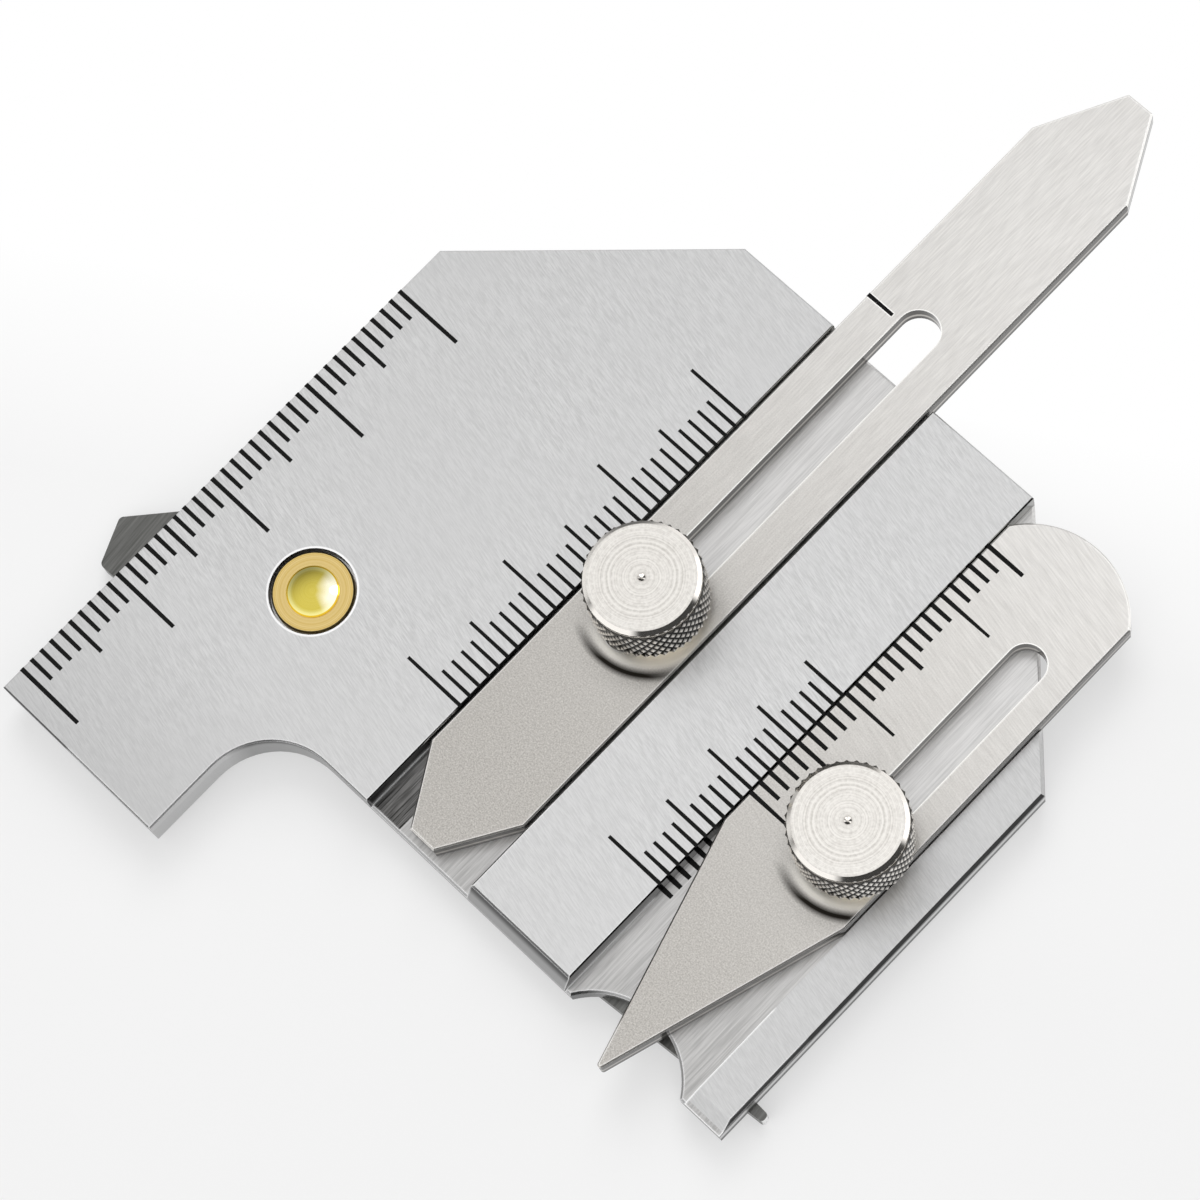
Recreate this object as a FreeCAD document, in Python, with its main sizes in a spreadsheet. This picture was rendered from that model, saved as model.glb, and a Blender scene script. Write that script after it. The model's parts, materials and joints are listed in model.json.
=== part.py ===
# Weld inspection gauge: a steel main plate with two milled grooves, a height slide and an
# undercut slide clamped by knurled thumb screws, and a tapered blade riveted behind the plate.
# Millimetres. The gauge lies on its back: +Z out of its face, +Y along the slides.
# The origin is on the pivot rivet's axis, in the plane that the gauge lies on.
import FreeCAD, Part
import math
import os
import re
import Sketcher
from FreeCAD import Placement, Rotation, Vector

SIZES = {
    # main plate, measured from the outer corner of its tongue
    "plate_width": 62.0,
    "plate_length": 61.75,
    "plate_thickness": 3.0,
    "tongue_width": 16.0,
    "front_setback": 12.4,
    "step_radius": 6.0,
    "left_corner_width": 17.2,
    "left_corner_length": 15.45,
    "right_corner_width": 15.5,
    "right_corner_length": 15.65,
    "notch_radius": 6.54,
    "notch_depth": 3.0,
    "groove_depth": 1.6,
    "ledge_drop": 1.1,
    "ledge_width": 3.44,
    "height_clearance": 0.22,
    "undercut_clearance": 0.08,
    "bevel_setback": 0.8,
    "bevel_height": 1.5,
    "ledge_bevel_setback": 1.4,
    "ledge_bevel_height": 0.35,
    "edge_break": 0.12,
    "floor_edge_break": 0.2,
    "ledge_edge_break": 0.25,
    # height slide, in the left groove
    "height_slide_x": 31.43,
    "height_slide_width": 9.6,
    "height_slide_length": 76.6,
    "height_slide_end_y": 13.1,
    "slide_thickness": 1.7,
    "height_foot_taper": 5.8,
    "height_head_taper": 6.7,
    "height_end_flat": 2.4,
    "height_slot_width": 3.4,
    "height_slot_travel": 28.3,
    "slot_reserve": 2.7,
    # undercut slide, in the right groove
    "undercut_slide_width": 11.9,
    "undercut_slide_length": 52.6,
    "undercut_slide_end_y": 9.4,
    "undercut_point_length": 19.7,
    "undercut_head_radius": 7.4,
    "undercut_slot_offset": 2.15,
    "undercut_slot_width": 3.1,
    "undercut_slot_travel": 17.9,
    "point_radius": 0.25,
    # thumb screws
    "height_screw_y": 37.2,
    "undercut_screw_y": 34.2,
    "screw_radius": 1.25,
    "screw_clearance": 0.05,
    "screw_end_gap": 0.1,
    "neck_radius": 3.6,
    "neck_height": 1.5,
    "knurl_radius": 4.55,
    "knurl_height": 4.4,
    "knurl_depth": 0.19,
    "knurl_count": 40,
    "knurl_angle": 30.0,
    "rim_inset": 0.01,
    "rim_height": 0.6,
    "rim_chamfer": 0.3,
    "centre_radius": 0.28,
    "centre_depth": 0.16,
    # blade behind the plate, measured from its pivot
    "blade_thickness": 1.5,
    "blade_rest_angle": 5.2,
    "blade_heel_x": -15.4,
    "blade_heel_y": -7.85,
    "blade_nose_x": -16.7,
    "blade_nose_y": -4.1,
    "blade_back_y": 5.8,
    "blade_back_angle": 42.5,
    "blade_back_width": 11.5,
    "blade_shoulder_x": 18.0,
    "blade_shoulder_y": -5.0,
    "blade_keel_y": -10.2,
    "blade_keel_length": 17.5,
    "blade_overhang": 0.5,
    "blade_tip_width": 0.7,
    "blade_nose_radius": 0.45,
    "blade_back_radius": 3.0,
    "blade_tip_radius": 0.3,
    # pivot
    "pivot_x": 12.0,
    "pivot_y": 20.9,
    "rivet_radius": 2.0,
    "rivet_clearance": 0.05,
    "rivet_dome": 0.25,
    "rivet_stand": 0.1,
    "tail_radius": 3.2,
    "tail_depth": 0.7,
    "bush_radius": 2.7,
    "flange_radius": 3.15,
    "flange_depth": 1.0,
    "flange_recess": 0.15,
    "flange_gap": 0.2,
    # engraved marks
    "mark_depth": 0.12,
    "mark_overrun": 0.4,
    "mark_taper": 0.85,
    "long_slide_mark_taper": 0.6,
    "millimetre": 1.0,
    "depth_division": 0.95,
    "edge_scale_start": 1.93,
    "edge_mark_width": 0.37,
    "edge_mark_short": 2.3,
    "edge_mark_medium": 3.55,
    "edge_mark_long": 6.2,
    "height_scale_start": 22.15,
    "height_mark_width": 0.31,
    "height_mark_short": 2.9,
    "height_mark_medium": 4.0,
    "height_mark_long": 5.5,
    "depth_scale_start": 22.56,
    "depth_mark_width": 0.32,
    "depth_mark_short": 2.5,
    "depth_mark_medium": 4.0,
    "depth_mark_long": 4.4,
    "depth_mark_first": 5.2,
    "depth_mark_last": 3.8,
    "floor_mark_length": 0.9,
    "floor_mark_width": 0.42,
    "slide_scale_start": 22.44,
    "slide_mark_width": 0.38,
    "slide_mark_short": 1.9,
    "slide_mark_medium": 2.85,
    "slide_mark_long": 4.75,
    "slide_mark_last": 3.4,
    "index_mark_y": 52.1,
    "index_mark_length": 2.5,
    "index_mark_width": 0.34,
}

doc = FreeCAD.newDocument("weld_gauge")
sheet = doc.addObject("Spreadsheet::Sheet", "sizes")
for row, (name, size) in enumerate(SIZES.items(), start=1):
    sheet.set("A%d" % row, name)
    sheet.set("B%d" % row, str(size))
    sheet.setAlias("B%d" % row, name)
doc.recompute()


def bound(formula):
    """The formula with every size name pointing at its cell of the sheet."""
    return re.sub(r"[a-z_]+", lambda word: "sizes." + word.group() if word.group() in SIZES else word.group(),
                  formula)


def size(formula):
    """The number that a formula of size names comes to."""
    answer = sheet.evalExpression(bound(formula))
    return float(getattr(answer, "Value", answer))


def new_body(name):
    body = doc.addObject("PartDesign::Body", name)
    body.Label = name
    return body


def origin_plane(body, role):
    return next(item for item in body.Origin.OriginFeatures if item.Role == role)


def new_sketch(body, name, height="0"):
    """A sketch parallel to the body's XY plane, at a height given as a formula."""
    sketch = body.newObject("Sketcher::SketchObject", name)
    sketch.AttachmentSupport = (origin_plane(body, "XY_Plane"), [""])
    sketch.MapMode = "FlatFace"
    sketch.setExpression("AttachmentOffset.Base.z", bound(height))
    return sketch


def bind(sketch, constraint, formula):
    index = sketch.addConstraint(constraint)
    sketch.setExpression("Constraints[%d]" % index, bound(formula))


def pin_point(sketch, edge, end, x, y):
    """Hold one end of a sketch edge at x, y, given as formulas."""
    bind(sketch, Sketcher.Constraint("DistanceX", -1, 1, edge, end, size(x)), x)
    bind(sketch, Sketcher.Constraint("DistanceY", -1, 1, edge, end, size(y)), y)


def draw_outline(sketch, corners):
    """A closed outline of straight edges through corners given as pairs of formulas."""
    places = [Vector(size(x), size(y), 0) for x, y in corners]
    first = sketch.GeometryCount
    for here, there in zip(places, places[1:] + places[:1]):
        sketch.addGeometry(Part.LineSegment(here, there))
    for step, (x, y) in enumerate(corners):
        before = first + (step - 1) % len(corners)
        sketch.addConstraint(Sketcher.Constraint("Coincident", before, 2, first + step, 1))
        pin_point(sketch, first + step, 1, x, y)


def draw_box(sketch, left, low, right, high):
    draw_outline(sketch, [(left, low), (right, low), (right, high), (left, high)])


def draw_circle(sketch, x, y, radius):
    circle = sketch.addGeometry(Part.Circle(Vector(size(x), size(y), 0), Vector(0, 0, 1), size(radius)))
    pin_point(sketch, circle, 3, x, y)
    bind(sketch, Sketcher.Constraint("Radius", circle, size(radius)), radius)


def draw_slot(sketch, x, low, high, half_width):
    """A slot along Y with round ends centred at low and high."""
    middle, bottom, top, r = size(x), size(low), size(high), size(half_width)
    up = sketch.addGeometry(Part.ArcOfCircle(
        Part.Circle(Vector(middle, top, 0), Vector(0, 0, 1), r), 0, math.pi))
    left = sketch.addGeometry(Part.LineSegment(Vector(middle - r, top, 0), Vector(middle - r, bottom, 0)))
    down = sketch.addGeometry(Part.ArcOfCircle(
        Part.Circle(Vector(middle, bottom, 0), Vector(0, 0, 1), r), math.pi, 2 * math.pi))
    right = sketch.addGeometry(Part.LineSegment(Vector(middle + r, bottom, 0), Vector(middle + r, top, 0)))
    joins = ((up, 2, left, 1), (left, 2, down, 1), (down, 2, right, 1), (right, 2, up, 1))
    for here, end, there, start in joins:
        sketch.addConstraint(Sketcher.Constraint("Tangent", here, end, there, start))
    pin_point(sketch, up, 3, x, high)
    bind(sketch, Sketcher.Constraint("DistanceY", -1, 1, down, 3, bottom), low)
    bind(sketch, Sketcher.Constraint("Radius", up, r), half_width)


def pad(body, sketch, height):
    feature = body.newObject("PartDesign::Pad", sketch.Name + "_pad")
    feature.Profile = sketch
    feature.setExpression("Length", bound(height))
    sketch.Visibility = False
    doc.recompute()
    return feature


def pocket(body, sketch, depth=None):
    """Cut the sketch downwards, by a depth or right through, and make sure that it cuts."""
    before = body.Shape.Volume
    feature = body.newObject("PartDesign::Pocket", sketch.Name + "_cut")
    feature.Profile = sketch
    if depth is None:
        feature.Type = "ThroughAll"
    else:
        feature.setExpression("Length", bound(depth))
    sketch.Visibility = False
    doc.recompute()
    if not body.Shape.Volume < before:
        raise RuntimeError(feature.Name + " cuts nothing")
    return feature


def edge_names(shape, wanted):
    return ["Edge%d" % number for number, edge in enumerate(shape.Edges, start=1) if wanted(edge)]


def at_height(level):
    """Test for the edges that lie flat at one height."""
    def wanted(edge):
        box = edge.BoundBox
        return abs(box.ZMin - level) < 1e-6 and abs(box.ZMax - level) < 1e-6
    return wanted


def upright_at(x, y):
    """Test for the upright edge over one place."""
    def wanted(edge):
        box = edge.BoundBox
        return box.XLength < 1e-6 and box.YLength < 1e-6 and math.hypot(box.XMin - x, box.YMin - y) < 1e-3
    return wanted


def dress(body, kind, name, names, setting, formula):
    """A fillet or chamfer on the named edges of the body so far."""
    before = body.Tip
    feature = body.newObject("PartDesign::" + kind, name)
    feature.Base = (before, names)
    feature.setExpression(setting, bound(formula))
    doc.recompute()
    return feature


def mark_cutters(name, top, root, reach, start, division, width, groups, overrun="mark_overrun"):
    """A body of cutters for a row of marks along Y. Each starts at the edge at x = root, which it
    overruns, and goes by its length towards reach (+1 or -1). A group is a label, the divisions
    that it draws, their length and taper, and how often it repeats every so many divisions."""
    cutters = new_body(name)
    for label, divisions, length, taper, count, step in groups:
        sketch = new_sketch(cutters, name + "_" + label, top + " - mark_depth")
        outer = "%s - (%d) * %s" % (root, reach, overrun)
        inner = "%s + (%d) * (%s)" % (root, reach, length)
        for number in divisions:
            middle = "%s + (%s) * %d" % (start, division, number)
            low, high = ("%s %s %s / 2" % (middle, sign, width) for sign in "-+")
            low_end, high_end = ("%s %s %s * %s / 2" % (middle, sign, width, taper) for sign in "-+")
            draw_outline(sketch, [(outer, low), (inner, low_end), (inner, high_end), (outer, high)])
        raised = pad(cutters, sketch, "mark_depth + mark_overrun")
        if count > 1:
            row = cutters.newObject("PartDesign::LinearPattern", raised.Name + "_row")
            row.Originals = [raised]
            row.Direction = (sketch, ["V_Axis"])
            row.setExpression("Length", bound("(%s) * %d" % (division, step * (count - 1))))
            row.Occurrences = count
            cutters.Tip = row
            doc.recompute()
    return cutters


def engraved(name, blank, scales, place):
    """The blank with the marks of its scales cut in, as the finished piece at its place."""
    marks = doc.addObject("Part::Compound", name + "_marks")
    marks.Links = scales
    piece = doc.addObject("Part::Cut", name)
    piece.Base = blank
    piece.Tool = marks
    piece.Label = name
    piece.Placement = Placement(place, Rotation())
    doc.recompute()
    if not piece.Shape.Volume < blank.Shape.Volume:
        raise RuntimeError(name + " has no marks")
    return piece


def full_scale(last, short, medium, long, long_taper="mark_taper"):
    """Marks 0 to last of a ruler: long every ten, medium every five between, short elsewhere."""
    return [
        ("short", [1, 2, 3, 4], short, "mark_taper", last // 5, 5),
        ("medium", [5], medium, "mark_taper", (last + 5) // 10, 10),
        ("long", [0], long, long_taper, last // 10 + 1, 10),
    ]


# Main plate: one flat bar of stainless steel, profiled, with two milled grooves for the slides.
# Its own zero is the outer corner of the tongue, at the back face.
GROOVE_LEFT = "height_slide_x - height_slide_width / 2 - height_clearance"
GROOVE_RIGHT = "height_slide_x + height_slide_width / 2 + height_clearance"
STEP_RIGHT = "plate_width - ledge_width"
STEP_LEFT = STEP_RIGHT + " - undercut_slide_width - 2 * undercut_clearance"
UNDERCUT_X = STEP_RIGHT + " - undercut_slide_width / 2 - undercut_clearance"
UNDERCUT_SCREW_X = UNDERCUT_X + " + undercut_slot_offset"
GROOVE_FLOOR = "blade_thickness + plate_thickness - groove_depth"


def bevel_front(body, name, level, height, setback):
    """A sloping bevel on the front edge of the plate that lies at one level, right of the tongue."""
    front = size("front_setback")
    edges = edge_names(body.Shape, lambda edge: at_height(level)(edge)
                       and abs(edge.BoundBox.YMax - front) < 1e-6
                       and edge.BoundBox.XMin > size(GROOVE_RIGHT) - 1e-6)
    bevel = dress(body, "Chamfer", name, edges, "Size", height)
    bevel.ChamferType = "Two distances"
    bevel.setExpression("Size2", bound(setback))
    doc.recompute()


def make_main_plate():
    body = new_body("plate_blank")
    outline = new_sketch(body, "plate_outline")
    draw_outline(outline, [
        ("0", "0"), ("tongue_width", "0"), ("tongue_width", "front_setback"),
        ("plate_width", "front_setback"), ("plate_width", "plate_length - right_corner_length"),
        ("plate_width - right_corner_width", "plate_length"),
        ("left_corner_width", "plate_length"), ("0", "plate_length - left_corner_length"),
    ])
    pad(body, outline, "plate_thickness")
    step = edge_names(body.Shape, upright_at(size("tongue_width"), size("front_setback")))
    dress(body, "Fillet", "step_corner", step, "Radius", "step_radius")

    notch = new_sketch(body, "arc_notch", "plate_thickness")
    draw_circle(notch, UNDERCUT_X, "front_setback + notch_depth - notch_radius", "notch_radius")
    pocket(body, notch)

    groove = new_sketch(body, "height_groove", "plate_thickness")
    draw_box(groove, GROOVE_LEFT, "0", GROOVE_RIGHT, "plate_length")
    pocket(body, groove, "groove_depth")
    ledge = new_sketch(body, "ledge", "plate_thickness")
    draw_box(ledge, STEP_LEFT, "0", "plate_width", "plate_length")
    pocket(body, ledge, "ledge_drop")
    step = new_sketch(body, "undercut_groove", "plate_thickness")
    draw_box(step, STEP_LEFT, "0", STEP_RIGHT, "plate_length")
    pocket(body, step, "groove_depth")

    top = size("plate_thickness")
    ledge_top = size("plate_thickness - ledge_drop")
    bevel_front(body, "land_bevel", top, "bevel_height", "bevel_setback")
    bevel_front(body, "ledge_bevel", ledge_top, "ledge_bevel_height", "ledge_bevel_setback")
    dress(body, "Chamfer", "top_edges", edge_names(body.Shape, at_height(top)), "Size", "edge_break")
    right = size("plate_width")
    ledge_sides = edge_names(body.Shape, lambda edge: at_height(ledge_top)(edge)
                             and edge.BoundBox.XMax > right - 1e-6
                             and edge.BoundBox.YLength > size("notch_depth"))
    dress(body, "Chamfer", "ledge_side_edges", ledge_sides, "Size", "ledge_edge_break")
    floor = size("plate_thickness - groove_depth")
    floor_ends = edge_names(body.Shape, lambda edge: at_height(floor)(edge) and edge.BoundBox.XLength > 0.1)
    dress(body, "Chamfer", "floor_end_edges", floor_ends, "Size", "floor_edge_break")

    holes = new_sketch(body, "screw_holes", "plate_thickness")
    draw_circle(holes, "height_slide_x", "height_screw_y", "screw_radius + screw_clearance")
    draw_circle(holes, UNDERCUT_SCREW_X, "undercut_screw_y", "screw_radius + screw_clearance")
    pocket(body, holes)
    seat = new_sketch(body, "flange_seat", "plate_thickness")
    draw_circle(seat, "pivot_x", "pivot_y", "flange_radius + flange_gap")
    pocket(body, seat, "flange_depth + flange_recess")
    bore = new_sketch(body, "bush_bore", "plate_thickness")
    draw_circle(bore, "pivot_x", "pivot_y", "bush_radius")
    pocket(body, bore)

    edge_scale = mark_cutters(
        "edge_scale", "plate_thickness", "0", 1, "edge_scale_start", "millimetre", "edge_mark_width",
        full_scale(40, "edge_mark_short", "edge_mark_medium", "edge_mark_long"))
    height_scale = mark_cutters(
        "height_scale", "plate_thickness", GROOVE_LEFT, -1, "height_scale_start", "millimetre",
        "height_mark_width", full_scale(30, "height_mark_short", "height_mark_medium", "height_mark_long"))
    depth_scale = mark_cutters(
        "depth_scale", "plate_thickness", STEP_LEFT, -1, "depth_scale_start", "depth_division",
        "depth_mark_width", [
            ("short", [1, 2, 3, 4], "depth_mark_short", "mark_taper", 4, 5),
            ("medium", [5], "depth_mark_medium", "mark_taper", 2, 10),
            ("first", [0], "depth_mark_first", "mark_taper", 1, 1),
            ("long", [10], "depth_mark_long", "mark_taper", 1, 1),
            ("last", [20], "depth_mark_last", "mark_taper", 1, 1)])
    floor_marks = mark_cutters(
        "floor_marks", "plate_thickness - groove_depth", STEP_LEFT, 1, "depth_scale_start", "depth_division",
        "floor_mark_width", [("all", [0], "floor_mark_length", "mark_taper", 6, 1)], "0")
    return engraved("main_plate", body, [edge_scale, height_scale, depth_scale, floor_marks],
                    Vector(-size("pivot_x"), -size("pivot_y"), size("blade_thickness")))


# Height slide: a flat bar tapered at both ends. Its own zero is the middle of its lower end.
def make_height_slide():
    body = new_body("height_slide_blank")
    outline = new_sketch(body, "height_outline")
    half = "height_slide_width / 2"
    flat = "height_end_flat / 2"
    shoulder = "height_slide_length - height_head_taper"
    draw_outline(outline, [
        ("-(%s)" % flat, "0"), (flat, "0"), (half, "height_foot_taper"), (half, shoulder),
        (flat, "height_slide_length"), ("-(%s)" % flat, "height_slide_length"),
        ("-(%s)" % half, shoulder), ("-(%s)" % half, "height_foot_taper"),
    ])
    pad(body, outline, "slide_thickness")
    dress(body, "Chamfer", "height_edges", edge_names(body.Shape, at_height(size("slide_thickness"))),
          "Size", "edge_break")
    screw = "height_screw_y - height_slide_end_y"
    slot = new_sketch(body, "height_slot", "slide_thickness")
    draw_slot(slot, "0", screw + " - slot_reserve", screw + " + height_slot_travel", "height_slot_width / 2")
    pocket(body, slot)
    index = mark_cutters("index", "slide_thickness", "-(%s)" % half, 1, "index_mark_y", "millimetre",
                         "index_mark_width", [("mark", [0], "index_mark_length", "mark_taper", 1, 1)])
    return engraved("height_slide", body, [index],
                    Vector(size("height_slide_x - pivot_x"), size("height_slide_end_y - pivot_y"),
                           size(GROOVE_FLOOR)))


# Undercut slide: a wide flat bar with a long point below and a round head above. Its own zero is
# the end of the point before it is rounded off.
def make_undercut_slide():
    body = new_body("undercut_slide_blank")
    outline = new_sketch(body, "undercut_outline")
    half = "undercut_slide_width / 2"
    length, radius = size("undercut_slide_length"), size("undercut_head_radius")
    point, reach = size("undercut_point_length"), size(half)
    centre = Vector(0, length - radius, 0)
    shoulder = centre.y + math.sqrt(radius ** 2 - reach ** 2)
    right_angle = math.atan2(shoulder - centre.y, reach)
    end, low, high = Vector(0, 0, 0), Vector(reach, point, 0), Vector(reach, shoulder, 0)
    far_low, far_high = Vector(-reach, point, 0), Vector(-reach, shoulder, 0)
    right_point = outline.addGeometry(Part.LineSegment(end, low))
    right_side = outline.addGeometry(Part.LineSegment(low, high))
    left_side = outline.addGeometry(Part.LineSegment(far_high, far_low))
    left_point = outline.addGeometry(Part.LineSegment(far_low, end))
    head = outline.addGeometry(Part.ArcOfCircle(
        Part.Circle(centre, Vector(0, 0, 1), radius), right_angle, math.pi - right_angle))
    joins = ((right_point, 2, right_side, 1), (right_side, 2, head, 1), (head, 2, left_side, 1),
             (left_side, 2, left_point, 1), (left_point, 2, right_point, 1))
    for here, end, there, start in joins:
        outline.addConstraint(Sketcher.Constraint("Coincident", here, end, there, start))
    pin_point(outline, right_point, 1, "0", "0")
    pin_point(outline, right_point, 2, half, "undercut_point_length")
    pin_point(outline, left_side, 2, "-(%s)" % half, "undercut_point_length")
    outline.addConstraint(Sketcher.Constraint("Vertical", right_side))
    outline.addConstraint(Sketcher.Constraint("Vertical", left_side))
    pin_point(outline, head, 3, "0", "undercut_slide_length - undercut_head_radius")
    bind(outline, Sketcher.Constraint("Radius", head, radius), "undercut_head_radius")
    pad(body, outline, "slide_thickness")
    dress(body, "Fillet", "point_end", edge_names(body.Shape, upright_at(0, 0)), "Radius", "point_radius")
    dress(body, "Chamfer", "undercut_edges", edge_names(body.Shape, at_height(size("slide_thickness"))),
          "Size", "edge_break")
    screw = "undercut_screw_y - undercut_slide_end_y"
    slot = new_sketch(body, "undercut_slot", "slide_thickness")
    draw_slot(slot, "undercut_slot_offset", screw + " - slot_reserve", screw + " + undercut_slot_travel",
              "undercut_slot_width / 2")
    pocket(body, slot)
    slide_scale = mark_cutters(
        "slide_scale", "slide_thickness", "-(%s)" % half, 1, "slide_scale_start", "millimetre",
        "slide_mark_width",
        full_scale(25, "slide_mark_short", "slide_mark_medium", "slide_mark_long", "long_slide_mark_taper")
        + [("last", [25], "slide_mark_last", "mark_taper", 1, 1)])
    return engraved("undercut_slide", body, [slide_scale],
                    Vector(size(UNDERCUT_X + " - pivot_x"), size("undercut_slide_end_y - pivot_y"),
                           size(GROOVE_FLOOR)))


# Blade: a flat multi-use blade behind the plate, with a square nose at the left and a long taper
# to the right. Its own zero is the pivot.
def make_angle_blade():
    body = new_body("angle_blade")
    outline = new_sketch(body, "blade_outline")
    back_left = "blade_nose_x + (blade_back_y - blade_nose_y) / tan(blade_back_angle * 1 deg)"
    back_right = back_left + " + blade_back_width"
    tip_x = "plate_width - pivot_x + blade_overhang"
    tip_top = "blade_keel_y + blade_tip_width"
    draw_outline(outline, [
        ("blade_heel_x", "blade_heel_y"), (tip_x + " - blade_keel_length", "blade_keel_y"),
        (tip_x, "blade_keel_y"), (tip_x, tip_top), ("blade_shoulder_x", "blade_shoulder_y"),
        (back_right, "blade_back_y"), (back_left, "blade_back_y"), ("blade_nose_x", "blade_nose_y"),
    ])
    pad(body, outline, "blade_thickness")
    shape = body.Shape
    nose = (edge_names(shape, upright_at(size("blade_heel_x"), size("blade_heel_y")))
            + edge_names(shape, upright_at(size("blade_nose_x"), size("blade_nose_y"))))
    dress(body, "Fillet", "nose_corners", nose, "Radius", "blade_nose_radius")
    shape = body.Shape
    back = (edge_names(shape, upright_at(size(back_left), size("blade_back_y")))
            + edge_names(shape, upright_at(size(back_right), size("blade_back_y")))
            + edge_names(shape, upright_at(size("blade_shoulder_x"), size("blade_shoulder_y"))))
    dress(body, "Fillet", "back_corners", back, "Radius", "blade_back_radius")
    shape = body.Shape
    tip = (edge_names(shape, upright_at(size(tip_x), size("blade_keel_y")))
           + edge_names(shape, upright_at(size(tip_x), size(tip_top))))
    dress(body, "Fillet", "tip_corners", tip, "Radius", "blade_tip_radius")
    hole = new_sketch(body, "rivet_hole", "blade_thickness")
    draw_circle(hole, "0", "0", "rivet_radius + rivet_clearance")
    pocket(body, hole)
    seat = new_sketch(body, "tail_seat", "tail_depth")
    draw_circle(seat, "0", "0", "tail_radius + rivet_clearance")
    pocket(body, seat)
    body.Placement = Placement(Vector(0, 0, 0), Rotation(Vector(0, 0, 1), size("blade_rest_angle")))
    return body


def half_section(body, name):
    """A sketch in the body's XZ plane: radius across, height up."""
    sketch = body.newObject("Sketcher::SketchObject", name)
    sketch.AttachmentSupport = (origin_plane(body, "XZ_Plane"), [""])
    sketch.MapMode = "FlatFace"
    return sketch


def revolve(body, sketch):
    feature = body.newObject("PartDesign::Revolution", sketch.Name + "_turned")
    feature.Profile = sketch
    feature.ReferenceAxis = (sketch, ["V_Axis"])
    feature.Angle = 360
    sketch.Visibility = False
    doc.recompute()


def turned(name, profile):
    """A body turned about Z from its half section, given as pairs of formulas: radius, height."""
    body = new_body(name)
    section = half_section(body, name + "_section")
    draw_outline(section, profile)
    revolve(body, section)
    return body


# Pivot bush: a brass bush pressed into the plate, its flange let in just below the face.
def make_pivot_bush():
    low = "blade_thickness"
    top = "blade_thickness + plate_thickness - flange_recess"
    seat = "blade_thickness + plate_thickness - flange_recess - flange_depth"
    return turned("pivot_bush", [
        ("rivet_radius", low), ("bush_radius", low), ("bush_radius", seat), ("flange_radius", seat),
        ("flange_radius", top + " - edge_break"), ("flange_radius - edge_break", top), ("rivet_radius", top),
    ])


# Pivot rivet: a brass rivet through the bush and the blade. Its tail lies in the blade's back and
# its polished end stands a little proud of the bush as a low dome.
def make_pivot_rivet():
    shoulder = "blade_thickness + plate_thickness - flange_recess + rivet_stand"
    body = turned("pivot_rivet", [
        ("0", "0"), ("tail_radius", "0"), ("tail_radius", "tail_depth"), ("rivet_radius", "tail_depth"),
        ("rivet_radius", shoulder), ("0", shoulder),
    ])
    reach, rise, low = size("rivet_radius"), size("rivet_dome"), size(shoulder)
    radius = (reach ** 2 + rise ** 2) / (2 * rise)
    centre = low + rise - radius
    dome = half_section(body, "rivet_dome_section")
    crown = dome.addGeometry(Part.ArcOfCircle(
        Part.Circle(Vector(0, centre, 0), Vector(0, 0, 1), radius), math.acos(reach / radius), math.pi / 2))
    axis = dome.addGeometry(Part.LineSegment(Vector(0, low + rise, 0), Vector(0, low, 0)))
    base = dome.addGeometry(Part.LineSegment(Vector(0, low, 0), Vector(reach, low, 0)))
    for here, end, there, start in ((crown, 2, axis, 1), (axis, 2, base, 1), (base, 2, crown, 1)):
        dome.addConstraint(Sketcher.Constraint("Coincident", here, end, there, start))
    dome.addConstraint(Sketcher.Constraint("PointOnObject", crown, 3, -2))
    pin_point(dome, axis, 1, "0", shoulder + " + rivet_dome")
    pin_point(dome, axis, 2, "0", shoulder)
    pin_point(dome, base, 2, "rivet_radius", shoulder)
    revolve(body, dome)
    return body


def knurled_band(name, low):
    """The diamond knurl of a screw head, as a closed solid from the height low upwards. Points on
    rings of one height lie in turn on a ridge and in a groove, and every next ring swaps them, so
    that the grooves run across each other at the knurl's angle."""
    outer = size("knurl_radius")
    inner = size("knurl_radius - knurl_depth")
    count = int(size("knurl_count"))
    diamond = 2 * math.pi * outer / count / math.tan(math.radians(size("knurl_angle")))
    rings = max(2, round(2 * size("knurl_height") / diamond))
    rise = size("knurl_height") / rings

    def place(column, ring):
        radius = outer if (column + ring) % 2 else inner
        angle = math.pi * column / count
        return Vector(radius * math.cos(angle), radius * math.sin(angle), low + ring * rise)

    faces = []
    for ring in range(rings):
        for column in range(2 * count):
            left_low, right_low = place(column, ring), place(column + 1, ring)
            left_high, right_high = place(column, ring + 1), place(column + 1, ring + 1)
            if (column + ring) % 2:
                halves = ((left_low, right_low, left_high), (right_low, right_high, left_high))
            else:
                halves = ((left_low, right_low, right_high), (left_low, right_high, left_high))
            faces += [Part.Face(Part.makePolygon([a, b, c, a])) for a, b, c in halves]
    for ring in (0, rings):
        rim = [place(column, ring) for column in range(2 * count)]
        faces.append(Part.Face(Part.makePolygon(rim + rim[:1])))
    band = doc.addObject("Part::Feature", name)
    band.Shape = Part.Solid(Part.makeShell(faces))
    return band


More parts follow.
